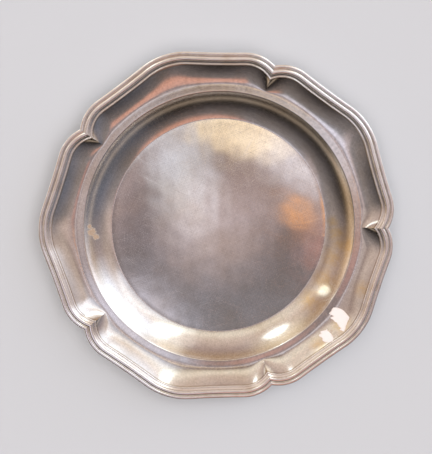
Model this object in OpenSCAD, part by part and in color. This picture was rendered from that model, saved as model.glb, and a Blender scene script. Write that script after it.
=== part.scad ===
// Silver dinner plate with a five-lobed border.
// One raised sheet makes the floor, the well wall and the border. Five lengths of reeded
// moulding lie on the rim and meet in mitres at the notches. Two scraps of a torn paper
// sticker are left on the border.
// Origin: middle of the underside, on the surface that the plate rests on. A notch points to +X.

/* [Plate] */
// Radius from the axis to the tip of each lobe
tip_r = 125; // [118:1:135]
// Width of the border, from the shoulder of the well to the lobe tips
border_w = 29.5; // [27:0.5:34]
// Width of the sloping well wall, seen from above
wall_w = 19; // [16:0.5:22]
// Depth of the well below its shoulder
well_depth = 10.5; // [8:0.5:12]
// Rise of the border from the shoulder to the moulding
border_rise = 5; // [3:0.5:7]
// Power by which the border steepens on its way to the moulding
border_power = 1.6; // [1.4:0.1:2.2]
// Thickness of the sheet
sheet_t = 0.9; // [0.7:0.1:1.3]

/* [Well] */
// Radius of the hollow curve of the well wall
wall_arc = 36; // [32:1:48]
// Radius of the narrow rounded shoulder
shoulder_arc = 1.4; // [1.4:0.1:3]
// Width of the level ring outside the shoulder
shoulder_flat = 4; // [1:0.5:6]

/* [Lobed outline] */
// Depth of the notches below the lobe tips
notch_depth = 7; // [5:0.5:8]
// Angle at which a lobe turns out of its notch
notch_angle = 28; // [22:1:32]
// Radius of the rounded corner beside each notch
corner_arc = 28; // [25:1:34]
// Radius of the faintly hollow flank between corner and tip
flank_arc = 600; // [300:50:900]
// Radius of the arc at the tip of a lobe
tip_arc = 48; // [36:1:56]

/* [Moulding] */
// Diameter of the outer reed, the edge of the plate
outer_reed_d = 2.6; // [2:0.1:3]
// Diameter of the broad middle reed
middle_reed_d = 3.2; // [2.6:0.1:3.8]
// Diameter of the fine inner reed
inner_reed_d = 1.2; // [1:0.1:1.6]
// Width of the groove between the outer and middle reeds
groove_w = 0.4; // [0.2:0.1:0.8]
// Width of the hollow between the middle and inner reeds
hollow_w = 1.2; // [0.8:0.1:1.6]
// Thickness of the moulding at the floor of the hollow
hollow_t = 0.35; // [0.2:0.05:0.5]
// Depth by which the flat back of the moulding cuts into each reed
reed_bed = 0.4; // [0.2:0.05:0.45]
// Distance of the sheet's edge inside the outline of the moulding
edge_setback = 0.4; // [0.2:0.1:1]
// Width of the solder seam in each mitre
mitre_gap = 0.1; // [0:0.05:0.3]

/* [Paper scraps] */
// Thickness of the sticker's paper
paper_t = 0.15; // [0.1:0.05:0.3]
// Thickness of the dried glue under the paper
glue_t = 0.12; // [0.1:0.02:0.2]
// Distance of the upper scrap's middle inside the lobe tips
upper_scrap_inset = 18.4; // [17:0.2:20]
// Distance of the lower scrap's middle inside the lobe tips
lower_scrap_inset = 15.6; // [14:0.2:17]

/* [Hidden] */

silver = "#b9b2a9";
bright_silver = "#d3cdc6";
paper_white = "#f3efe9";

lobes = 5;
lobe_angle = 360 / lobes;
half_lobe = lobe_angle / 2;

// Steps along each arc of half a lobe, across the border, and round each reed
corner_steps = 4;
flank_steps = 2;
tip_steps = 3;
border_steps = 7;
wall_steps = 14;
shoulder_steps = 5;
outer_reed_steps = 7;
middle_reed_steps = 7;
inner_reed_steps = 4;
scrap_columns = 5;

// Radii and heights of the sheet, all on its upper face
shoulder_r = tip_r - border_w;
floor_r = shoulder_r - wall_w;
border_r = shoulder_r + shoulder_flat;
shoulder_z = sheet_t + well_depth;
rim_z = shoulder_z + border_rise;

// The well and the border overlap in the level ring, between these two radii
seam_inner_r = shoulder_r + shoulder_flat / 4;
seam_outer_r = shoulder_r + shoulder_flat / 2;

// Section of the moulding: x runs inwards from the outline, y up from the sheet
outer_reed_r = outer_reed_d / 2;
middle_reed_r = middle_reed_d / 2;
inner_reed_r = inner_reed_d / 2;
outer_reed_c = [outer_reed_r, outer_reed_r - reed_bed];
middle_reed_c = [outer_reed_d + groove_w + middle_reed_r, middle_reed_r - reed_bed];
inner_reed_c = [middle_reed_c.x + middle_reed_r + hollow_w + inner_reed_r, inner_reed_r - reed_bed];
moulding_w = inner_reed_c.x + inner_reed_r;
// The reeds beside the groove end this far above their centres
groove_angle = 10;

// Scraps: direction of their middles, and rows of [forward, left edge, right edge] from there
upper_scrap_angle = -37.2;
upper_scrap = [
    [6.9, -3.3, -1.1], [5.8, -4.5, 1.9], [4.4, -5.3, 3.7], [2.6, -6.9, 5.3], [0.4, -5.8, 7.0],
    [-1.1, -5.4, 6.6], [-2.6, -2.3, 5.8], [-5.1, -0.7, 4.7], [-7.7, 0.9, 3.9], [-9.8, 2.4, 3.0]
];
lower_scrap_angle = -45.4;
lower_scrap = [
    [5, -1.2, -0.4], [3.9, -2.6, -0.2], [2.6, -5.1, 1.6], [1.5, -6.4, 2.6], [-0.4, -5.4, 3.5],
    [-1.6, -4.4, 3.6], [-2.8, -3.4, 3.2], [-3.8, -1.8, 1.2]
];

function polar(r, a) = [r * cos(a), r * sin(a)];
function heading(v) = atan2(v.y, v.x);
function turned(p, a) = polar(norm(p), heading(p) + a);
function lifted(p, z) = [p.x, p.y, z];
function arc(c, r, from, to, steps) = [for (i = [0:steps]) c + polar(r, from + (to - from) * i / steps)];
function tail(list) = [for (i = [1:len(list) - 1]) list[i]];
function reversed(list) = [for (i = [len(list) - 1:-1:0]) list[i]];

// Meeting point of two circles, on the left of the line from the first centre to the second
function meet(a, ra, b, rb) =
    let (
        v = b - a,
        x = (ra ^ 2 - rb ^ 2 + v * v) / (2 * norm(v)),
        y = sqrt(ra ^ 2 - x ^ 2),
        along = v / norm(v)
    )
    a + x * along + y * [-along.y, along.x];

// Half a lobe is three tangent arcs: the corner, the flank and the tip
notch_r = tip_r - notch_depth;
corner_c = [notch_r, 0] + corner_arc * [-cos(notch_angle), sin(notch_angle)];
tip_c = polar(tip_r - tip_arc, half_lobe);
flank_c = meet(tip_c, tip_arc + flank_arc, corner_c, corner_arc + flank_arc);
corner_end = heading(flank_c - corner_c);
tip_start = heading(flank_c - tip_c);

// Outline of the first lobe moved inwards by inset, from one mitre to the next
function half_outline(inset, gap) =
    concat(
        arc(corner_c, corner_arc - inset, asin((gap / 2 - corner_c.y) / (corner_arc - inset)),
            corner_end, corner_steps),
        tail(arc(flank_c, flank_arc + inset, corner_end - 180, tip_start - 180, flank_steps)),
        tail(arc(tip_c, tip_arc - inset, tip_start, half_lobe, tip_steps))
    );
function mirrored(p) = polar(norm(p), lobe_angle - heading(p));
function lobe_outline(inset, gap) =
    let (half = half_outline(inset, gap))
    concat(half, tail(reversed([for (p = half) mirrored(p)])));
function whole_outline(inset) =
    let (lobe = tail(lobe_outline(inset, 0)))
    [for (i = [0:lobes - 1], p = lobe) turned(p, lobe_angle * i)];

// Distance of a point inside the outline, measured square to the nearest arc of its half lobe
function folded(p) =
    let (a = heading(p), b = a - lobe_angle * round(a / lobe_angle))
    polar(norm(p), abs(b));
function inset_of(p) =
    let (q = folded(p), side = heading(flank_c - q))
    side > corner_end ? corner_arc - norm(q - corner_c)
    : side < tip_start ? tip_arc - norm(q - tip_c)
    : norm(q - flank_c) - flank_arc;

// The border is a cove: its height grows as a power of the way from shoulder to moulding
function border_z(p) =
    let (
        from_well = max(norm(p) - border_r, 0),
        to_moulding = max(inset_of(p) - moulding_w, 0),
        way = from_well / (from_well + to_moulding)
    )
    shoulder_z + border_rise * way ^ border_power;

// Solid through closed loops of points, with flat ends, or joined end to end as a ring.
// Seen along the loft, each loop runs anticlockwise.
module loft(loops, ring = false) {
    n = len(loops[0]);
    m = len(loops);
    sides = [
        for (i = [0:ring ? m - 1 : m - 2], j = [0:n - 1])
            let (next = (i + 1) % m, k = (j + 1) % n)
            each [[i * n + j, i * n + k, next * n + k], [i * n + j, next * n + k, next * n + j]]
    ];
    ends = ring ? [] : [[for (j = [n - 1:-1:0]) j], [for (j = [0:n - 1]) (m - 1) * n + j]];
    polyhedron([for (loop = loops) each loop], concat(sides, ends));
}

// Section of the well: floor, hollow wall, rounded shoulder and the start of the level ring
module well() {
    floor_edge = [floor_r, sheet_t];
    shoulder_c = [shoulder_r, shoulder_z - shoulder_arc];
    wall_c = meet(floor_edge, wall_arc, shoulder_c, wall_arc + shoulder_arc);
    wall_end = heading(shoulder_c - wall_c);
    upper = concat(
        [[0, sheet_t]],
        arc(wall_c, wall_arc, heading(floor_edge - wall_c), wall_end, wall_steps),
        tail(arc(shoulder_c, shoulder_arc, wall_end + 180, 90, shoulder_steps)),
        [[seam_outer_r, shoulder_z]]
    );
    lower = concat(
        [[0, 0]],
        arc(wall_c, wall_arc + sheet_t, -asin(wall_c.y / (wall_arc + sheet_t)), wall_end, wall_steps),
        tail(arc(shoulder_c, shoulder_arc - sheet_t, wall_end + 180, 90, shoulder_steps)),
        [[seam_outer_r, shoulder_z - sheet_t]]
    );
    rotate_extrude($fn = 180)
        polygon(concat(upper, reversed(lower)));
}

// Border: the sheet from the level ring up the cove to the flat rim under the moulding
module border() {
    inner = whole_outline(moulding_w);
    edge = whole_outline(edge_setback);
    loft([
        for (k = [0:len(inner) - 1])
            let (
                ray = inner[k] / norm(inner[k]),
                across = [
                    for (i = [0:border_steps])
                        let (p = border_r * ray * (1 - i / border_steps) + inner[k] * i / border_steps)
                        lifted(p, border_z(p))
                ],
                upper = concat(
                    [lifted(seam_inner_r * ray, shoulder_z)], across, [lifted(edge[k], rim_z)]
                )
            )
            concat(reversed(upper), [for (p = upper) p - [0, 0, sheet_t]])
    ], ring = true);
}

module dish() {
    color(silver) {
        well();
        border();
    }
}

// One length of moulding, with three reeds side by side on a flat back
module rim_moulding(index) {
    section = concat(
        arc(outer_reed_c, outer_reed_r, 180 + asin(outer_reed_c.y / outer_reed_r), groove_angle,
            outer_reed_steps),
        arc(middle_reed_c, middle_reed_r, 180 - groove_angle,
            asin((hollow_t - middle_reed_c.y) / middle_reed_r), middle_reed_steps),
        arc(inner_reed_c, inner_reed_r, 180 - asin((hollow_t - inner_reed_c.y) / inner_reed_r),
            -asin(inner_reed_c.y / inner_reed_r), inner_reed_steps)
    );
    rails = [for (s = section) lobe_outline(s.x, mitre_gap)];
    color(bright_silver)
        loft([
            for (k = [0:len(rails[0]) - 1]) [
                for (j = [0:len(section) - 1])
                    lifted(turned(rails[j][k], lobe_angle * (index - 1)), rim_z + section[j].y)
            ]
        ]);
}

// Scrap of paper that follows the border, from its rows of left and right edges
module label_scrap(inset, angle, rows) {
    at = polar(tip_r - inset, angle);
    color(paper_white)
        loft([
            for (row = rows)
                let (
                    back = [
                        for (i = [0:scrap_columns])
                            let (p = at + [row[1] + (row[2] - row[1]) * i / scrap_columns, row[0]])
                            lifted(p, border_z(p) + glue_t)
                    ]
                )
                concat([for (p = back) p + [0, 0, paper_t]], reversed(back))
        ]);
}

module label_scrap_upper() {
    label_scrap(upper_scrap_inset, upper_scrap_angle, upper_scrap);
}

module label_scrap_lower() {
    label_scrap(lower_scrap_inset, lower_scrap_angle, lower_scrap);
}

dish();
rim_moulding(1);  // rim_moulding_1
rim_moulding(2);  // rim_moulding_2
rim_moulding(3);  // rim_moulding_3
rim_moulding(4);  // rim_moulding_4
rim_moulding(5);  // rim_moulding_5
label_scrap_upper();
label_scrap_lower();
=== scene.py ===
import math

import bpy
import numpy as np
from mathutils import Matrix, Vector


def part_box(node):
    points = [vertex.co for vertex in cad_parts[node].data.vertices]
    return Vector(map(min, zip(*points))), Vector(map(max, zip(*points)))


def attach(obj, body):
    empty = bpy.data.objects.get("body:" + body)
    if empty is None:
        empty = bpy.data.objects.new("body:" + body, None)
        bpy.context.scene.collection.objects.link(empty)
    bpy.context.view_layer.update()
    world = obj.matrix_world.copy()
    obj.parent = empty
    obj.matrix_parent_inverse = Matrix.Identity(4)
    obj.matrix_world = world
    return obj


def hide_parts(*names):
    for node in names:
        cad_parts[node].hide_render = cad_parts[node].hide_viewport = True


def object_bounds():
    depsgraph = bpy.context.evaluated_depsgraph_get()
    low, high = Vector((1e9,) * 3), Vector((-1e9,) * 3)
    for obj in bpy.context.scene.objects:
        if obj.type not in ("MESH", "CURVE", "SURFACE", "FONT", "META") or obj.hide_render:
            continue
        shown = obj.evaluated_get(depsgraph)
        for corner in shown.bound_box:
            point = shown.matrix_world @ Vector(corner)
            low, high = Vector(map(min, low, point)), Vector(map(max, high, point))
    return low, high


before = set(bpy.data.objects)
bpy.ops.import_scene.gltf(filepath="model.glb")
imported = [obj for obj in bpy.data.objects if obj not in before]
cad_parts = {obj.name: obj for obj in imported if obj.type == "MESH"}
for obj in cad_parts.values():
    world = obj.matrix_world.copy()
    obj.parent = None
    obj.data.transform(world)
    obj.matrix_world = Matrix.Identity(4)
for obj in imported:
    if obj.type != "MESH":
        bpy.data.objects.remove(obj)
cadLow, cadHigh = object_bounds()
mm = 0.001
print("frame loaded:", len(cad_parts), "solids")

# Sizes are in millimetres, here and below. These are the solids' own; the frame gives the first two.
plate = {
    "tipR": -cadLow.x / mm,  # axis to a lobe's tip, one of which points along -X
    "rimZ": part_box("dish")[1].z / mm,  # flat rim under the moulding
    "borderWidth": 29.5,  # shoulder to lobe tips
    "borderRise": 5.0,
    "borderPower": 1.6,
    "wallWidth": 19.0,
    "wallArc": 36.0,
    "shoulderArc": 1.4,
    "shoulderFlat": 4.0,
    "creaseArc": 4.0,  # small fillet where the wall leaves the floor, which the solids don't have
    "sheet": 0.9,
}
lobe = {
    "count": 5,
    "notchDepth": 7.0,
    "notchAngle": math.radians(28),
    "cornerArc": 28.0,
    "flankArc": 600.0,
    "tipArc": 48.0,
    "steps": (24, 10, 16),  # stations along the corner, flank and tip of half a lobe
    "crowd": 1.7,  # draws the corner's stations towards the notch
}
shoulderR = plate["tipR"] - plate["borderWidth"]
floorR = shoulderR - plate["wallWidth"]
borderR = shoulderR + plate["shoulderFlat"]
shoulderZ = plate["rimZ"] - plate["borderRise"]
lobeAngle = 2 * math.pi / lobe["count"]


# Points at radius r and angle a
def polar(r, a):
    return np.stack(np.broadcast_arrays(r * np.cos(a), r * np.sin(a)), axis=-1)


# Angle of vectors from +X
def heading(v):
    return np.arctan2(v[..., 1], v[..., 0])


# Where two circles meet, on the left of the line from the first centre to the second
def meet(a, ra, b, rb):
    span = np.linalg.norm(b - a)
    along = (b - a) / span
    x = (ra**2 - rb**2 + span**2) / (2 * span)
    return a + x * along + math.sqrt(ra**2 - x**2) * np.array([-along[1], along[0]])


# Points of an arc about a centre, from one angle to another
def arc(centre, r, start, end, steps):
    return centre + polar(r, np.linspace(start, end, steps + 1))


# Half a lobe is three tangent arcs: a round corner by the notch, a faintly hollow flank and the tip
toCorner = np.array([-math.cos(lobe["notchAngle"]), math.sin(lobe["notchAngle"])])
cornerC = np.array([plate["tipR"] - lobe["notchDepth"], 0.0]) + lobe["cornerArc"] * toCorner
tipC = polar(plate["tipR"] - lobe["tipArc"], lobeAngle / 2)
flankC = meet(tipC, lobe["tipArc"] + lobe["flankArc"], cornerC, lobe["cornerArc"] + lobe["flankArc"])
cornerEnd = heading(flankC - cornerC)
tipStart = heading(flankC - tipC)


# Outline of one lobe moved inwards by each inset: the arcs keep their centres and change their radii,
# and the second half is the first one mirrored. Gives one row of points for each inset.
def lobeRail(inset, gap=0.0):
    inset = np.atleast_1d(np.asarray(inset, float))[:, None]
    cornerN, flankN, tipN = (np.linspace(0, 1, n + 1) for n in lobe["steps"])
    start = np.arcsin((gap / 2 - cornerC[1]) / (lobe["cornerArc"] - inset))
    cornerA = start + (cornerEnd - start) * cornerN ** lobe["crowd"]
    flankA = cornerEnd + math.pi + (tipStart - cornerEnd) * flankN
    tipA = tipStart + (lobeAngle / 2 - tipStart) * tipN
    corner = cornerC + polar(lobe["cornerArc"] - inset, cornerA)
    flank = flankC + polar(lobe["flankArc"] + inset, flankA)
    tip = tipC + polar(lobe["tipArc"] - inset, tipA)
    half = np.concatenate([corner, flank[:, 1:], tip[:, 1:]], axis=1)
    other = polar(np.linalg.norm(half, axis=-1), lobeAngle - heading(half))
    return np.concatenate([half, other[:, -2::-1]], axis=1)


# Points turned about the axis
def turned(p, angle):
    return polar(np.linalg.norm(p, axis=-1), heading(p) + angle)


# The whole outline at each inset: the lobe's points, less the shared last one, turned round the axis
def wholeRail(inset):
    one = lobeRail(inset)[:, :-1]
    return np.concatenate([turned(one, lobeAngle * i) for i in range(lobe["count"])], axis=1)


# Distance of points inside the outline, square to the nearest arc of their half lobe
def insetOf(p):
    a = heading(p)
    q = polar(np.linalg.norm(p, axis=-1), np.abs(a - lobeAngle * np.round(a / lobeAngle)))
    side = heading(flankC - q)
    inCorner = lobe["cornerArc"] - np.linalg.norm(q - cornerC, axis=-1)
    inTip = lobe["tipArc"] - np.linalg.norm(q - tipC, axis=-1)
    inFlank = np.linalg.norm(q - flankC, axis=-1) - lobe["flankArc"]
    return np.where(side > cornerEnd, inCorner, np.where(side < tipStart, inTip, inFlank))


# Section of the moulding: x runs inwards from the outline, y up from the rim
moulding = {
    "outerReed": 2.6,
    "middleReed": 3.2,
    "innerReed": 1.2,
    "groove": 0.4,
    "hollow": 1.2,
    "hollowT": (0.75, 0.15),  # the hollow's floor slopes down to the inner reed
    "bed": 0.4,  # how deep the flat back cuts into each reed
    "grooveRise": 0.5,  # the groove's floor above a reed's middle, as a share of its radius
    "square": 2.7,  # wear: 2 is a round reed, more is flatter on top
    "mitreGap": 0.1,
    "trim": 0.08,  # keeps the smooth outline inside the solids, whose facets cut its corners
    "steps": (28, 30, 12),
}
outerR, middleR, innerR = (moulding[k] / 2 for k in ("outerReed", "middleReed", "innerReed"))
outerC = np.array([outerR, outerR - moulding["bed"]])
middleC = np.array([2 * outerR + moulding["groove"] + middleR, middleR - moulding["bed"]])
innerC = np.array([middleC[0] + middleR + moulding["hollow"] + innerR, innerR - moulding["bed"]])
mouldingWidth = innerC[0] + innerR


# The border is a cove: its height grows as a power of the way from the level ring to the moulding
def borderHeight(p):
    fromWell = np.maximum(np.linalg.norm(p, axis=-1) - borderR, 0)
    toMoulding = np.maximum(insetOf(p) - mouldingWidth, 0)
    way = fromWell / np.maximum(fromWell + toMoulding, 1e-6)
    return shoulderZ + plate["borderRise"] * way ** plate["borderPower"]


sharpAngle = math.radians(32)  # edges that bend more than this stay sharp


# Puts points in millimetres and faces into a mesh in metres, with its point attributes
# and a look for each face
def buildPiece(name, points, faces, looks, faceLooks=None, **pointValues):
    mesh = bpy.data.meshes.new(name)
    mesh.from_pydata((points * mm).tolist(), [], faces)
    for key, values in pointValues.items():
        layer = mesh.attributes.new(key, "FLOAT", "POINT")
        layer.data.foreach_set("value", np.asarray(values, np.float32).ravel())
    for look in looks:
        mesh.materials.append(look)
    if faceLooks is not None:
        mesh.polygons.foreach_set("material_index", np.asarray(faceLooks, np.int32))
    mesh.polygons.foreach_set("use_smooth", np.ones(len(mesh.polygons), bool))
    mesh.set_sharp_from_angle(angle=sharpAngle)
    mesh.validate()
    mesh.update()
    piece = bpy.data.objects.new(name, mesh)
    bpy.context.scene.collection.objects.link(piece)
    return piece


# Quads between neighbouring rows of a grid of point numbers, closed round in the second direction
def quadsOf(numbers):
    after = np.roll(numbers, -1, axis=1)
    quads = np.stack([numbers[:-1], after[:-1], after[1:], numbers[1:]], axis=-1)
    return quads.reshape(-1, 4)


# Loops of points lofted in order, with a flat face on each end
def loftFaces(rows, columns):
    numbers = np.arange(rows * columns).reshape(rows, columns)
    return quadsOf(numbers).tolist() + [numbers[0, ::-1].tolist(), numbers[-1].tolist()]


# sRGB hex to linear colour
def hexColour(text):
    c = np.array([int(text[i:i + 2], 16) for i in (1, 3, 5)]) / 255
    c = np.where(c <= 0.04045, c / 12.92, ((c + 0.055) / 1.055) ** 2.4)
    return (*c.tolist(), 1.0)


# Adds a node, sets its properties, and fills its inputs with values or links
def addNode(tree, kind, inputs=None, **settings):
    node = tree.nodes.new("ShaderNode" + kind)
    for key, value in settings.items():
        setattr(node, key, value)
    for socket, value in (inputs or {}).items():
        if isinstance(value, bpy.types.NodeSocket):
            tree.links.new(value, node.inputs[socket])
        else:
            node.inputs[socket].default_value = value
    return node


# An empty material and its node tree
def newLook(name):
    look = bpy.data.materials.new(name)
    look.use_nodes = True
    look.node_tree.nodes.clear()
    return look, look.node_tree


# Ends a material with its shader
def closeLook(tree, inputs):
    shader = addNode(tree, "BsdfPrincipled", inputs)
    addNode(tree, "OutputMaterial", {"Surface": shader.outputs["BSDF"]})


sheetFinish = {
    "clean": "#f8f6f1",
    "film": "#e6ddcf",  # thin sulphide film, yellow-brown
    "deepFilm": "#8f7a58",
    "goldReflectionColour": "#f0d9a6",  # painted gold reflection, laid on as a gold tint
    "polish": "#b5a08c",  # dried polish and glue
    "floorCloud": (34.0, 0.35),  # size of the film's clouds, and the noise at which film sets in
    "wallCloud": (28.0, 0.38),
    "filmSoft": 0.4,  # range of noise from clean to film
    "hairTurns": (20, 65, 110, 155),  # degrees
    "hairSize": (9.0, 0.9, 1.0),  # length, width and height
    "hairRange": (0.36, 0.64),  # noise from dull to clear
    "hairDull": 0.78,
    # direction in degrees, width, length, and the noise at which a scratch begins
    "floorScratches": [
        (12, 0.20, 30, 0.68), (37, 0.18, 24, 0.69), (63, 0.20, 34, 0.69),
        (88, 0.18, 28, 0.68), (113, 0.20, 36, 0.70), (139, 0.18, 26, 0.68),
        (164, 0.20, 32, 0.69), (-27, 0.30, 50, 0.71), (24, 0.30, 60, 0.72)],
    "wallScratches": [
        (25, 0.22, 30, 0.66), (70, 0.20, 26, 0.67), (115, 0.22, 34, 0.66), (160, 0.20, 28, 0.67)],
    "scratchSoft": 0.1,
    "floorDepth": 0.0002,  # of the scratches
    "wallDepth": 0.0007,
    "floorHaze": 0.16,  # roughness that a scratch adds
    "wallHaze": 0.08,
    "floorRough": 0.07,
    "wallRough": 0.125,
    "borderRough": 0.105,
    "roughBlend": 4.0,  # the wall's roughness starts to change this far inside the shoulder
    "wallAnisotropy": 0.88,
    "burnishPitch": 0.45,  # across the burnishing lines
    "burnishTurn": 7.0,  # how often a line changes on its way round
    "burnishDepth": 0.0007,
    "patch": 3.5,  # size of the ragged patches in a stain
    # attribute, colour, and the strength at which it begins and is full; the gold one is painted
    # reflection, the polish a real stain
    "stainsAndTints": [("paintedGoldReflection", "goldReflectionColour", 0.05, 0.75), ("polishStain", "polish", 0.22, 0.36)],
    "grime": 0.7,
    "grimeReach": 0.9,  # from the moulding
}


# Fine scratches in several directions: noise drawn out along each direction and cut to its peaks.
# Real ones are about 0.05 mm wide; they are drawn several times wider, so that they show.
def scratches(tree, place, layers):
    total = 0.0
    for turn, width, length, least in layers:
        laid = addNode(tree, "Mapping", {
            "Vector": place, "Rotation": (0, 0, math.radians(turn)),
            "Scale": (length * mm, width * mm, length * mm)}, vector_type="TEXTURE")
        lines = addNode(tree, "TexNoise", {"Vector": laid.outputs[0], "Scale": 1.0, "Detail": 1.0})
        cut = addNode(tree, "MapRange", {
            "Value": lines.outputs["Fac"], "From Min": least,
            "From Max": least + sheetFinish["scratchSoft"]})
        total = addNode(tree, "Math", {0: total, 1: cut.outputs[0]}, operation="MAXIMUM").outputs[0]
    return total


# Hair-fine wear: noise drawn out along each of a few directions, averaged.
# It is drawn about ten times as coarse as real wear, so that it shows.
def hairlines(tree, place):
    turns = sheetFinish["hairTurns"]
    total = 0.0
    for turn in turns:
        laid = addNode(tree, "Mapping", {
            "Vector": place, "Rotation": (0, 0, math.radians(turn)),
            "Scale": tuple(size * mm for size in sheetFinish["hairSize"])}, vector_type="TEXTURE")
        lines = addNode(tree, "TexNoise", {"Vector": laid.outputs[0], "Scale": 1.0, "Detail": 2.0})
        total = addNode(tree, "Math", {
            0: lines.outputs["Fac"], 1: 1 / len(turns), 2: total}, operation="MULTIPLY_ADD").outputs[0]
    return total


# Clean silver clouded with film, and dulled a little by hair-fine wear
def filmedSilver(tree, place, cloudSize, least):
    cloud = addNode(tree, "TexNoise", {
        "Vector": place, "Scale": 1 / (cloudSize * mm), "Detail": 3.0, "Roughness": 0.55})
    tint = addNode(tree, "MapRange", {
        "Value": cloud.outputs["Fac"], "From Min": least, "From Max": least + sheetFinish["filmSoft"]})
    colour = addNode(tree, "Mix", {
        "Factor": tint.outputs[0], 6: hexColour(sheetFinish["clean"]),
        7: hexColour(sheetFinish["film"])}, data_type="RGBA")
    dullest, clearest = sheetFinish["hairRange"]
    dull = addNode(tree, "MapRange", {
        "Value": hairlines(tree, place), "From Min": dullest, "From Max": clearest,
        "To Min": sheetFinish["hairDull"]})
    worn = addNode(tree, "VectorMath", {0: colour.outputs[2], 1: dull.outputs[0]}, operation="MULTIPLY")
    return worn.outputs[0]


# Sterling silver sheet, raised by hand, polished and then worn by knives: a soft mirror with a haze
# of fine scratches that run every way, and a faint yellow film
def wornSilverFloor():
    look, tree = newLook("sterling_silver_worn_satin")
    place = addNode(tree, "TexCoord").outputs["Object"]
    colour = filmedSilver(tree, place, *sheetFinish["floorCloud"])
    fine = scratches(tree, place, sheetFinish["floorScratches"])
    bump = addNode(tree, "Bump", {
        "Height": fine, "Strength": 1.0, "Distance": sheetFinish["floorDepth"] * mm})
    rough = addNode(tree, "Math", {
        0: fine, 1: sheetFinish["floorHaze"], 2: sheetFinish["floorRough"]}, operation="MULTIPLY_ADD")
    closeLook(tree, {
        "Base Color": colour, "Metallic": 1.0, "Roughness": rough.outputs[0], "Normal": bump.outputs[0]})
    return look


# The same sheet on the wall and border, burnished round and round: highlights are drawn out across the
# burnishing lines. A painted gold reflection, dried polish and grime lie where the attributes say.
def burnishedSilver():
    look, tree = newLook("sterling_silver_burnished")
    place = addNode(tree, "TexCoord").outputs["Object"]
    colour = filmedSilver(tree, place, *sheetFinish["wallCloud"])
    patchy = addNode(tree, "TexNoise", {
        "Vector": place, "Scale": 1 / (sheetFinish["patch"] * mm), "Detail": 4.0, "Roughness": 0.6})
    # the gold tint is a painted reflection; the dried polish is a real stain
    for markName, tone, least, most in sheetFinish["stainsAndTints"]:
        laid = addNode(tree, "Attribute", attribute_name=markName).outputs["Fac"]
        broken = addNode(tree, "Math", {0: laid, 1: patchy.outputs["Fac"]}, operation="MULTIPLY")
        cover = addNode(tree, "MapRange", {"Value": broken.outputs[0], "From Min": least, "From Max": most})
        colour = addNode(tree, "Mix", {
            "Factor": cover.outputs[0], 6: colour,
            7: hexColour(sheetFinish[tone])}, data_type="RGBA").outputs[2]
    # dried polish, the last of these marks, hides the metal
    bare = addNode(tree, "Math", {0: 1.0, 1: cover.outputs[0]}, operation="SUBTRACT")
    beside = addNode(tree, "Attribute", attribute_name="besideMoulding").outputs["Fac"]
    grime = addNode(tree, "MapRange", {
        "Value": beside, "From Min": sheetFinish["grimeReach"], "From Max": 0.0,
        "To Max": sheetFinish["grime"]})
    dirty = addNode(tree, "Mix", {
        "Factor": grime.outputs[0], 6: colour,
        7: hexColour(sheetFinish["deepFilm"])}, data_type="RGBA")

    outwards = addNode(tree, "VectorMath", {0: place, 1: (1, 1, 0)}, operation="MULTIPLY").outputs[0]
    tangent = addNode(tree, "VectorMath", {0: outwards}, operation="NORMALIZE")
    radius = addNode(tree, "VectorMath", {0: outwards}, operation="LENGTH").outputs["Value"]
    # burnishing lines: noise stretched round the axis, fine along the radius
    across = addNode(tree, "Math", {
        0: radius, 1: 1 / (sheetFinish["burnishPitch"] * mm)}, operation="MULTIPLY")
    upright = addNode(tree, "CombineXYZ", {"Z": across.outputs[0]})
    turn = sheetFinish["burnishTurn"]
    wound = addNode(tree, "VectorMath", {
        0: tangent.outputs[0], 1: (turn, turn, 0), 2: upright.outputs[0]}, operation="MULTIPLY_ADD")
    lines = addNode(tree, "TexNoise", {"Vector": wound.outputs[0], "Scale": 1.0, "Detail": 2.0})
    fine = scratches(tree, place, sheetFinish["wallScratches"])
    scored = addNode(tree, "Bump", {
        "Height": fine, "Strength": 1.0, "Distance": sheetFinish["wallDepth"] * mm})
    bump = addNode(tree, "Bump", {
        "Height": lines.outputs["Fac"], "Strength": 1.0, "Distance": sheetFinish["burnishDepth"] * mm,
        "Normal": scored.outputs[0]})
    zone = addNode(tree, "MapRange", {
        "Value": radius, "From Min": (shoulderR - sheetFinish["roughBlend"]) * mm, "From Max": borderR * mm,
        "To Min": sheetFinish["wallRough"], "To Max": sheetFinish["borderRough"]})
    rough = addNode(tree, "Math", {
        0: fine, 1: sheetFinish["wallHaze"], 2: zone.outputs[0]}, operation="MULTIPLY_ADD")
    closeLook(tree, {
        "Base Color": dirty.outputs[2], "Metallic": bare.outputs[0], "Roughness": rough.outputs[0],
        "Normal": bump.outputs[0], "Anisotropic": sheetFinish["wallAnisotropy"],
        "Tangent": tangent.outputs[0]})
    return look


mouldingFinish = {
    "bright": "#f9f7f3",
    "film": "#ece4d8",
    # the dark colour is grime in the groove and painted shade in the hollow
    "grime": "#6a5a46",
    "cloud": 9.0,  # size of the film's clouds
    "filmRange": (0.45, 0.85),
    "rough": 0.17,
    "grooveRough": 0.3,
    "dent": 2.2,
    "dentDepth": 0.02,
    "dentStrength": 0.6,
    "inGroove": (0.4, 0.24),  # how much grime, and how far it reaches
    # painted shade in the hollow: how dark, and how far it reaches
    "shadeInHollow": (0.25, 0.5),
}
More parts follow.
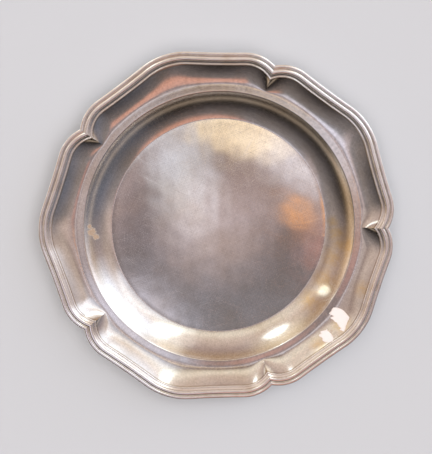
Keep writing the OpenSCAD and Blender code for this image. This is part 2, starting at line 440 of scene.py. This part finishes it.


# Sterling silver drawn through a die and polished by hand: bright on the reeds, black-brown grime where the
# cloth never reaches in the groove, and painted shade in the hollow
def polishedMoulding():
    look, tree = newLook("sterling_silver_drawn_polished")
    place = addNode(tree, "TexCoord").outputs["Object"]
    cloud = addNode(tree, "TexNoise", {
        "Vector": place, "Scale": 1 / (mouldingFinish["cloud"] * mm), "Detail": 3.0})
    least, most = mouldingFinish["filmRange"]
    tint = addNode(tree, "MapRange", {"Value": cloud.outputs["Fac"], "From Min": least, "From Max": most})
    colour = addNode(tree, "Mix", {
        "Factor": tint.outputs[0], 6: hexColour(mouldingFinish["bright"]),
        7: hexColour(mouldingFinish["film"])}, data_type="RGBA")
    # inGroove holds the groove's grime and the hollow's painted shade
    deep = addNode(tree, "Attribute", attribute_name="inGroove").outputs["Fac"]
    dirty = addNode(tree, "Mix", {
        "Factor": deep, 6: colour.outputs[2], 7: hexColour(mouldingFinish["grime"])}, data_type="RGBA")
    rough = addNode(tree, "MapRange", {
        "Value": deep, "To Min": mouldingFinish["rough"], "To Max": mouldingFinish["grooveRough"]})
    dents = addNode(tree, "TexNoise", {
        "Vector": place, "Scale": 1 / (mouldingFinish["dent"] * mm), "Detail": 2.0})
    bump = addNode(tree, "Bump", {
        "Height": dents.outputs["Fac"], "Strength": mouldingFinish["dentStrength"],
        "Distance": mouldingFinish["dentDepth"] * mm})
    closeLook(tree, {
        "Base Color": dirty.outputs[2], "Metallic": 1.0, "Roughness": rough.outputs[0],
        "Normal": bump.outputs[0]})
    return look


paperFinish = {
    "face": "#f1eded",
    "grubby": "#cfc4b4",
    "rough": 0.85,
    "fibre": 0.35,
    "fibreDepth": 0.05,
    "fibreStrength": 0.6,
    "blotch": 2.5,
}


# Uncoated sticker paper, torn: matt white, fibrous, grey where fingers rubbed its torn edge
def tornPaper():
    look, tree = newLook("uncoated_paper_torn")
    place = addNode(tree, "TexCoord").outputs["Object"]
    fibre = addNode(tree, "TexNoise", {
        "Vector": place, "Scale": 1 / (paperFinish["fibre"] * mm), "Detail": 4.0, "Roughness": 0.7})
    blotch = addNode(tree, "TexNoise", {
        "Vector": place, "Scale": 1 / (paperFinish["blotch"] * mm), "Detail": 2.0})
    edge = addNode(tree, "Attribute", attribute_name="tornEdge").outputs["Fac"]
    rubbed = addNode(tree, "Math", {0: edge, 1: blotch.outputs["Fac"]}, operation="MULTIPLY")
    colour = addNode(tree, "Mix", {
        "Factor": rubbed.outputs[0], 6: hexColour(paperFinish["face"]),
        7: hexColour(paperFinish["grubby"])}, data_type="RGBA")
    bump = addNode(tree, "Bump", {
        "Height": fibre.outputs["Fac"], "Strength": paperFinish["fibreStrength"],
        "Distance": paperFinish["fibreDepth"] * mm})
    closeLook(tree, {
        "Base Color": colour.outputs[2], "Roughness": paperFinish["rough"], "Normal": bump.outputs[0]})
    return look


# Stations round the plate, shared by every ring of the dish
innerRail = wholeRail(mouldingWidth)[0]
rays = innerRail / np.linalg.norm(innerRail, axis=-1, keepdims=True)

dish = {
    "edgeSetback": 0.4,  # sheet's edge inside the moulding's outline
    "floorSteps": 26,
    "creaseSteps": 5,
    "wallSteps": 28,
    "shoulderSteps": 14,
    "levelSteps": 3,
    "coveSteps": 28,
    "underSteps": 10,
    "underLevelSteps": 2,
    "ripple": 0.010,  # unevenness left by the hammer
    "rippleLength": (9.0, 34.0),
    "rippleCount": 14,
    "rippleSeed": 11,
    "rippleFade": 3.0,  # beside the moulding, as the rim itself stays flat
    "farFromMoulding": 20.0,  # stands for any distance at which there is no grime
    # marks on the wall and border: x, y and reach; the gold ones are painted reflection, the polish and
    # glue ones real
    "marks": {
        "paintedGoldReflection": [(84, -5, 6), (88, -13, 7), (81, 3, 4), (81, -23, 7), (76, -38, 8), (66, -54, 8),
                      (101, -44, 5), (86, -68, 6), (70, -84, 5)],
        "polishStain": [(-89.5, -2, 3.6), (-87, -6, 2.6), (-91, 1.5, 2.2), (79.3, -74.5, 1.6)],
    },
}


# Strength of a kind of mark at points: a bell curve about the nearest mark
def markStrength(p, marks):
    marks = np.array(marks)
    away = np.linalg.norm(p[:, None] - marks[:, :2], axis=-1) / marks[:, 2]
    return np.exp(-(away.min(-1) ** 2))


# Gentle unevenness: a sum of sine waves of random direction, length and phase, as height over points
def ripples(p):
    dice = np.random.default_rng(dish["rippleSeed"])
    length = dice.uniform(*dish["rippleLength"], dish["rippleCount"])
    wave = polar(2 * math.pi / length, dice.uniform(0, 2 * math.pi, dish["rippleCount"]))
    phase = dice.uniform(0, 2 * math.pi, dish["rippleCount"])
    return dish["ripple"] * np.sin(p @ wave.T + phase).sum(-1) / math.sqrt(dish["rippleCount"])


# Rings of the section's (radius, height) pairs about the axis
def roundRings(section):
    flat = section[:, 0, None, None] * rays
    heights = np.broadcast_to(section[:, 1, None, None], flat.shape[:2] + (1,))
    return np.concatenate([flat, heights], axis=-1)


# Rings of the cove: points on each ray from the level ring to the moulding, at the border's height,
# lowered by drop
def coveRings(shares, drop):
    flat = borderR * rays * (1 - shares[:, None, None]) + innerRail * shares[:, None, None]
    return np.concatenate([flat, (borderHeight(flat) - drop)[..., None]], axis=-1)


# The dish as one closed shell. Its section runs from the middle of the floor up the wall, over the
# shoulder and up the cove to the rim, round the sheet's edge, and back underneath at one sheet's thickness.
def makeDish(looks):
    t = plate["sheet"]
    floorEdge = np.array([floorR, t])
    shoulderC = np.array([shoulderR, shoulderZ - plate["shoulderArc"]])
    wallC = meet(floorEdge, plate["wallArc"], shoulderC, plate["wallArc"] + plate["shoulderArc"])
    wallEnd = heading(shoulderC - wallC)
    inside = plate["wallArc"] - plate["creaseArc"]
    creaseC = np.array([0, t + plate["creaseArc"]])
    creaseC[0] = wallC[0] + math.sqrt(inside**2 - (wallC[1] - creaseC[1]) ** 2)
    wallStart = heading(creaseC - wallC)

    floorPart = np.linspace([0, t], [creaseC[0], t], dish["floorSteps"] + 1)[1:]
    crease = arc(creaseC, plate["creaseArc"], -math.pi / 2, wallStart, dish["creaseSteps"])[1:]
    wall = arc(wallC, plate["wallArc"], wallStart, wallEnd, dish["wallSteps"])[1:]
    overWall = wallEnd + math.pi
    shoulder = arc(shoulderC, plate["shoulderArc"], overWall, math.pi / 2, dish["shoulderSteps"])[1:]
    level = np.linspace([shoulderR, shoulderZ], [borderR, shoulderZ], dish["levelSteps"] + 1)[1:]
    upper = np.concatenate([floorPart, crease, wall, shoulder, level])

    underZ = shoulderZ - t
    underN = dish["underSteps"]
    wallFoot = -math.asin(wallC[1] / (plate["wallArc"] + t))
    under = np.concatenate([
        np.linspace([borderR, underZ], [shoulderR, underZ], dish["underLevelSteps"] + 1),
        arc(shoulderC, plate["shoulderArc"] - t, math.pi / 2, overWall, underN)[1:],
        arc(wallC, plate["wallArc"] + t, wallEnd, wallFoot, underN)[1:],
    ])
    under = np.concatenate([under, np.linspace(under[-1], [0, 0], underN + 1)[1:-1]])

    edge = wholeRail([dish["edgeSetback"]])[0]
    around = len(edge)
    rimHeights = (plate["rimZ"], plate["rimZ"] - t)
    rim = np.stack([np.column_stack([edge, np.full(around, z)]) for z in rimHeights])
    coveUp = coveRings(np.linspace(0, 1, dish["coveSteps"] + 1)[1:], 0)
    coveDown = coveRings(np.linspace(1, 0, underN + 1)[:-1], t)
    top = np.concatenate([roundRings(upper), coveUp])
    fromRim = insetOf(top[..., :2]) - mouldingWidth
    top[..., 2] += ripples(top[..., :2]) * np.clip(fromRim, 0, dish["rippleFade"]) / dish["rippleFade"]
    rings = np.concatenate([top, rim, coveDown, roundRings(under)])

    centres = np.array([[0, 0, t + float(ripples(np.zeros(2)))], [0, 0, 0]])
    points = np.concatenate([rings.reshape(-1, 3), centres])
    numbers = np.arange(rings.shape[0] * around).reshape(rings.shape[:2])
    sides = quadsOf(numbers)[:, ::-1].tolist()
    first, last = numbers[0], numbers[-1]
    lid = np.stack([np.full(around, len(points) - 2), first, np.roll(first, -1)], axis=-1)
    base = np.stack([np.full(around, len(points) - 1), np.roll(last, -1), last], axis=-1)

    beside = np.full(len(points), dish["farFromMoulding"])
    coveAt = slice(len(upper) * around, len(top) * around)
    beside[coveAt] = np.maximum(insetOf(points[coveAt, :2]) - mouldingWidth, 0)
    upside = np.arange(len(points)) < len(top) * around
    marked = {kind: upside * markStrength(points[:, :2], marks) for kind, marks in dish["marks"].items()}

    faceLooks = np.ones(len(sides) + 2 * around, np.int32)  # the floor has the first look
    faceLooks[:(len(floorPart) - 1) * around] = 0
    faceLooks[len(sides):len(sides) + around] = 0
    return buildPiece("dish_shell", points, sides + lid.tolist() + base.tolist(), looks, faceLooks,
                      besideMoulding=beside, **marked)


# One reed of the section, from one height to another: a circle squared up a little, |x|^n + |y|^n = r^n
def reed(centre, r, startY, endY, square, steps):
    lift = [(y - centre[1]) / r for y in (startY, endY)]
    start, end = (math.copysign(math.asin(abs(v) ** (square / 2)), v) for v in lift)
    a = np.linspace(math.pi - start, end, steps + 1)
    unit = np.stack([np.cos(a), np.sin(a)], axis=-1)
    return centre + r * np.sign(unit) * np.abs(unit) ** (2 / square)


# Section of the moulding: three reeds, closed by the flat back. The inner one lies low and stays round.
def mouldingSection():
    outerN, middleN, innerN = moulding["steps"]
    hollowTop, hollowFoot = moulding["hollowT"]
    worn = moulding["square"]
    grooveOuter = outerC[1] + moulding["grooveRise"] * outerR
    grooveMiddle = middleC[1] + moulding["grooveRise"] * middleR
    return np.concatenate([
        reed(outerC, outerR, 0, grooveOuter, worn, outerN),
        reed(middleC, middleR, grooveMiddle, hollowTop, worn, middleN),
        reed(innerC, innerR, hollowFoot, 0, 2, innerN),
    ])


# One length of moulding: every point of the section runs along its own rail from mitre to mitre,
# with grime in a bell curve about the middle of the groove and painted shade in one about the middle of the
# hollow
def makeMoulding(index, look):
    section = mouldingSection()
    rails = lobeRail(section[:, 0] + moulding["trim"], moulding["mitreGap"])
    rails = turned(rails, lobeAngle * (index - 1))
    crown = cadHigh.z / mm - plate["rimZ"]
    heights = plate["rimZ"] + section[:, 1] * crown / section[:, 1].max()
    heights = np.broadcast_to(heights[:, None, None], rails.shape[:2] + (1,))
    loops = np.concatenate([rails, heights], axis=-1).transpose(1, 0, 2)
    grooveX = moulding["outerReed"] + moulding["groove"] / 2
    hollowX = (middleC[0] + middleR + innerC[0] - innerR) / 2
    deep = np.zeros(len(section))
    for x, (most, reach) in ((grooveX, mouldingFinish["inGroove"]), (hollowX, mouldingFinish["shadeInHollow"])):
        deep = np.maximum(deep, most * np.exp(-((section[:, 0] - x) / reach) ** 2))
    return buildPiece(f"rim_moulding_{index}_reeds", loops.reshape(-1, 3), loftFaces(*loops.shape[:2]),
                      [look], inGroove=np.tile(deep, len(loops)))


scraps = {
    "paper": 0.15,
    "glue": 0.12,
    "underGlue": 0.02,  # keeps the glue's lower face off the silver
    "rows": 72,
    "columns": 26,
    "ragged": (0.12, 0.06),  # left and right edge
    "torn": 0.7,  # larger tears on the left, every few rows
    "tearRows": 5,
    "leastWidth": 0.25,
    "feather": 0.5,  # width over which the paper thins out
    "edgeShare": 0.35,  # of its thickness, left at the edge
    # outlines: forward, left edge, right edge
    "upper": {
        "inset": 18.4, "angle": math.radians(-37.2), "seed": 3,
        "outline": [[6.9, -3.3, -1.1], [5.8, -4.5, 1.9], [4.4, -5.3, 3.7], [2.6, -6.9, 5.3],
                    [0.4, -5.8, 7.0], [-1.1, -5.4, 6.6], [-2.6, -2.3, 5.8], [-5.1, -0.7, 4.7],
                    [-7.7, 0.9, 3.9], [-9.8, 2.4, 3.0]]},
    "lower": {
        "inset": 15.6, "angle": math.radians(-45.4), "seed": 5,
        "outline": [[5, -1.2, -0.4], [3.9, -2.6, -0.2], [2.6, -5.1, 1.6], [1.5, -6.4, 2.6],
                    [-0.4, -5.4, 3.5], [-1.6, -4.4, 3.6], [-2.8, -3.4, 3.2], [-3.8, -1.8, 1.2]]},
}


# A scrap of paper laid on the border: rows across it run from its left to its right torn edge, which
# wander a little. Its upper face falls to the glue along the edges, as torn paper feathers out.
def makeScrap(which, look):
    scrap = scraps[which]
    outline = np.array(scrap["outline"])[::-1]
    dice = np.random.default_rng(scrap["seed"])
    forward = np.linspace(outline[0, 0], outline[-1, 0], scraps["rows"])
    left, right = (np.interp(forward, outline[:, 0], outline[:, k]) for k in (1, 2))
    raggedLeft, raggedRight = scraps["ragged"]
    rows = np.arange(len(forward))
    tearAt = rows[::scraps["tearRows"]]
    tears = np.interp(rows, tearAt, dice.standard_normal(len(tearAt)))
    left = left + raggedLeft * dice.standard_normal(len(rows)) + scraps["torn"] * tears
    right = right + raggedRight * dice.standard_normal(len(rows))
    right = np.maximum(right, left + scraps["leastWidth"])

    across = np.linspace(0, 1, scraps["columns"])
    sideways = left[:, None] + (right - left)[:, None] * across
    flat = np.stack(np.broadcast_arrays(sideways, forward[:, None]), axis=-1)
    flat = flat + polar(plate["tipR"] - scrap["inset"], scrap["angle"])
    ground = borderHeight(flat)
    fromEdge = np.minimum(across, 1 - across) * (right - left)[:, None]
    fromEnd = np.minimum(forward - forward[0], forward[-1] - forward)[:, None]
    nearest = np.minimum(fromEdge, fromEnd) / scraps["feather"]
    thick = scraps["edgeShare"] + (1 - scraps["edgeShare"]) * np.clip(nearest, 0, 1)
    upperZ = ground + scraps["glue"] + scraps["paper"] * thick
    upper = np.concatenate([flat, upperZ[..., None]], axis=-1)
    lower = np.concatenate([flat, (ground + scraps["underGlue"])[..., None]], axis=-1)
    loops = np.concatenate([upper[:, ::-1], lower], axis=1)
    torn = np.exp(-nearest)
    return buildPiece(f"label_scrap_{which}_paper", loops.reshape(-1, 3), loftFaces(*loops.shape[:2]),
                      [look], tornEdge=np.concatenate([torn[:, ::-1], torn], axis=1))


floorLook = wornSilverFloor()
wallLook = burnishedSilver()
mouldingLook = polishedMoulding()
paperLook = tornPaper()
print("finishes made")

shell = makeDish([floorLook, wallLook])
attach(shell, "root")
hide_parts("dish")
print("dish made:", len(shell.data.polygons), "faces")

for index in range(1, lobe["count"] + 1):
    reeds = makeMoulding(index, mouldingLook)
    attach(reeds, "root")
    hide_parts(f"rim_moulding_{index}")
print("mouldings made")

for which in ("upper", "lower"):
    paper = makeScrap(which, paperLook)
    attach(paper, "root")
    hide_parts(f"label_scrap_{which}")
print("paper scraps made")

stageSet = {
    "floorSize": 12000.0,
    "floorColour": "#c9cfd6",
    "mottle": 40.0,
    "rough": (0.8, 0.95),
}


# Plain pale board under the plate, matt paint with a faint mottle
def makeFloor():
    look, tree = newLook("matt_painted_board")
    place = addNode(tree, "TexCoord").outputs["Object"]
    mottle = addNode(tree, "TexNoise", {
        "Vector": place, "Scale": 1 / (stageSet["mottle"] * mm), "Detail": 3.0})
    least, most = stageSet["rough"]
    rough = addNode(tree, "MapRange", {"Value": mottle.outputs["Fac"], "To Min": least, "To Max": most})
    closeLook(tree, {"Base Color": hexColour(stageSet["floorColour"]), "Roughness": rough.outputs[0]})
    half = stageSet["floorSize"] / 2
    corners = np.array([[-half, -half, 0], [half, -half, 0], [half, half, 0], [-half, half, 0]])
    buildPiece("floor_board", corners, [[0, 1, 2, 3]], [look])


makeFloor()

# Camera: tilted a little from straight above, so that the far side of the well shows its wall.
# Its places are in metres.
view = {
    "place": Vector((-0.0397, 0.0778, 0.5821)),
    "aim": Vector((-0.0035, 0.0020, 0.0173)),
    "lens": 65.5,
    "sensor": 36.0,  # along the image's long side
}


def makeCamera():
    back = (view["place"] - view["aim"]).normalized()
    right = Vector((0, 1, 0)).cross(back).normalized()
    turn = Matrix((right, back.cross(right), back)).transposed()
    camera = bpy.data.objects.new("camera", bpy.data.cameras.new("camera"))
    camera.data.sensor_width = view["sensor"]
    camera.data.lens = view["lens"]
    camera.matrix_world = Matrix.Translation(view["place"]) @ turn.to_4x4()
    bpy.context.scene.collection.objects.link(camera)
    bpy.context.scene.camera = camera


makeCamera()

# Broad soft lamp straight above for the board and the paper, in metres and watts. The silver doesn't
# mirror it: what the silver shows is the surround.
fillLamp = {"height": 1.6, "size": 2.0, "watts": 22.0, "colour": "#fff8f2"}


def makeFill():
    lamp = bpy.data.lights.new("overhead_fill", "AREA")
    lamp.size = fillLamp["size"]
    lamp.energy = fillLamp["watts"]
    lamp.color = hexColour(fillLamp["colour"])[:3]
    hung = bpy.data.objects.new("overhead_fill", lamp)
    hung.location = (0, 0, fillLamp["height"])
    hung.visible_camera = False
    hung.visible_glossy = False
    bpy.context.scene.collection.objects.link(hung)


makeFill()

# Soft surround: a light side towards +Y and a dim side towards -Y, each with its own colours by height,
# and soft cards hung about. A height is the upward part of the direction: 0 at the horizon, 1 straight up.
surround = {
    "strength": 1.05,
    "edge": 0.11,  # the dim side begins this far past straight up, as a slope
    "soft": 0.32,
    "light": [
        (0.00, (1.00, 0.92, 0.90)),
        (0.12, (1.25, 1.17, 1.27)),
        (0.30, (0.48, 0.32, 0.19)),
        (0.60, (0.43, 0.32, 0.30)),
        (0.85, (0.71, 0.56, 0.49)),
        (0.97, (0.11, 0.03, 0.02)),
    ],
    "dim": [
        (0.00, (0.70, 0.62, 0.56)),
        (0.05, (0.48, 0.41, 0.36)),
        (0.10, (0.05, 0.03, 0.02)),
        (0.20, (0.00, 0.00, 0.00)),
        (0.30, (0.43, 0.34, 0.27)),
        (0.40, (0.00, 0.00, 0.00)),
        (0.60, (0.06, 0.05, 0.05)),
        (0.85, (0.22, 0.19, 0.19)),
        (0.97, (0.28, 0.28, 0.31)),
    ],
    # compass, tilt, half height and half width in degrees, hard share of it, added colour;
    # the note says what mirrors it
    "cards": [
        (342, 11.1, 6.1, 2.8, 0.1, (0.51, 0.55, 0.64)),  # floor, upper right
        (287, 3.8, 6.9, 3.5, 0.1, (0.56, 0.60, 0.67)),  # floor, upper left
        (296, 8.4, 5.2, 6.0, 0.25, (0.32, 0.25, 0.25)),  # floor, middle
        (321, 17.0, 6.0, 3.4, 0.2, (0.32, 0.10, 0.05)),  # floor's right edge and the left of the border
        (291, 26.2, 10.2, 11.0, 0.7, (0.50, 0.18, 0.09)),  # border, top
        (337, 71.8, 45.0, 45.0, 0.4, (0.11, 0.12, 0.16)),  # wall, upper left
        (341, 21.0, 22.0, 6.4, 0.3, (0.30, 0.23, 0.22)),  # foot of the wall, left
        (256, 17.1, 7.3, 7.9, 0.4, (0.65, 0.63, 0.77)),  # border, upper right
        (233, 18.0, 22.3, 4.5, 0.2, (0.32, 0.25, 0.26)),  # wall, upper right
        (190, 78.0, 20.0, 42.0, 0.5, (0.30, 0.20, 0.11)),  # top of the wall, right
        (174, 11.2, 11.0, 14.0, 0.6, (0.33, 0.29, 0.27)),  # border, right
        (90, 16.5, 15.5, 37.9, 0.1, (0.75, 0.73, 0.63)),  # border, bottom
        (31, 64.7, 45.0, 27.1, 0.1, (1.22, 1.48, 1.80)),  # wall, lower left
        (58, 58.8, 40.7, 11.9, 0.2, (0.56, 0.57, 0.53)),  # wall, bottom left
        (121, 57.6, 30.6, 21.0, 0.1, (0.51, 0.48, 0.36)),  # wall, lower right
        (154, 49.9, 16.0, 3.3, 0.5, (1.10, 1.18, 1.10)),  # small highlight on the wall, right
        (20, 22.9, 19.3, 9.2, 0.6, (0.46, 0.53, 0.64)),  # border, left
        (346, 5.3, 5.0, 1.9, 0.35, (0.92, 0.77, 0.52)),  # floor, top
        (324, 11.4, 1.9, 1.4, 0.1, (0.80, 0.30, 0.00)),  # floor, right
        (118, 44.1, 9.0, 7.5, 0.2, (2.65, 3.20, 3.50)),  # highlight on the wall, lower right
        (51, 38.2, 29.1, 5.8, 0.2, (1.31, 1.55, 1.61)),  # highlight on the wall, lower left
    ],
}


# Colours by height, as a ramp of straight steps between the given ones
def heightRamp(tree, height, stops):
    node = addNode(tree, "ValToRGB", {"Fac": height})
    elements = node.color_ramp.elements
    elements.remove(elements[1])
    elements[0].position = stops[0][0]
    elements[0].color = (*stops[0][1], 1)
    for place, colour in stops[1:]:
        elements.new(place).color = (*colour, 1)
    return node.outputs["Color"]


# The two sides blend by slope, and each card adds its colour: an ellipse that is full up to its hard share
# and fades out smoothly to its edge
def makeSurround():
    world = bpy.data.worlds.new("studio_surround")
    world.use_nodes = True
    bpy.context.scene.world = world
    tree = world.node_tree
    tree.nodes.clear()
    way = addNode(tree, "TexCoord").outputs["Generated"]
    part = addNode(tree, "SeparateXYZ", {0: way}).outputs
    slope = addNode(tree, "Math", {
        0: part["Z"], 1: surround["edge"], 2: part["Y"]}, operation="MULTIPLY_ADD")
    side = addNode(tree, "MapRange", {
        "Value": slope.outputs[0], "From Min": -surround["soft"], "From Max": surround["soft"]},
        interpolation_type="SMOOTHSTEP")
    glow = addNode(tree, "Mix", {
        "Factor": side.outputs[0], 6: heightRamp(tree, part["Z"], surround["dim"]),
        7: heightRamp(tree, part["Z"], surround["light"])}, data_type="RGBA").outputs[2]
    for compass, tilt, height, width, core, colour in surround["cards"]:
        local = addNode(tree, "Mapping", {
            "Vector": way, "Rotation": (0, math.radians(tilt), math.radians(compass)),
            "Scale": (math.sin(math.radians(height)), math.sin(math.radians(width)), 1)},
            vector_type="TEXTURE")
        flat = addNode(tree, "VectorMath", {0: local.outputs[0], 1: (1, 1, 0)}, operation="MULTIPLY")
        reach = addNode(tree, "VectorMath", {0: flat.outputs[0]}, operation="LENGTH")
        fade = addNode(tree, "MapRange", {
            "Value": reach.outputs["Value"], "From Min": 1, "From Max": core},
            interpolation_type="SMOOTHSTEP")
        glow = addNode(tree, "VectorMath", {
            0: colour, 1: fade.outputs[0], 2: glow}, operation="MULTIPLY_ADD").outputs[0]
    background = addNode(tree, "Background", {"Color": glow, "Strength": surround["strength"]})
    addNode(tree, "OutputWorld", {"Surface": background.outputs[0]})


makeSurround()
bpy.context.scene.view_settings.view_transform = "Standard"
print("camera, floor and lights made")
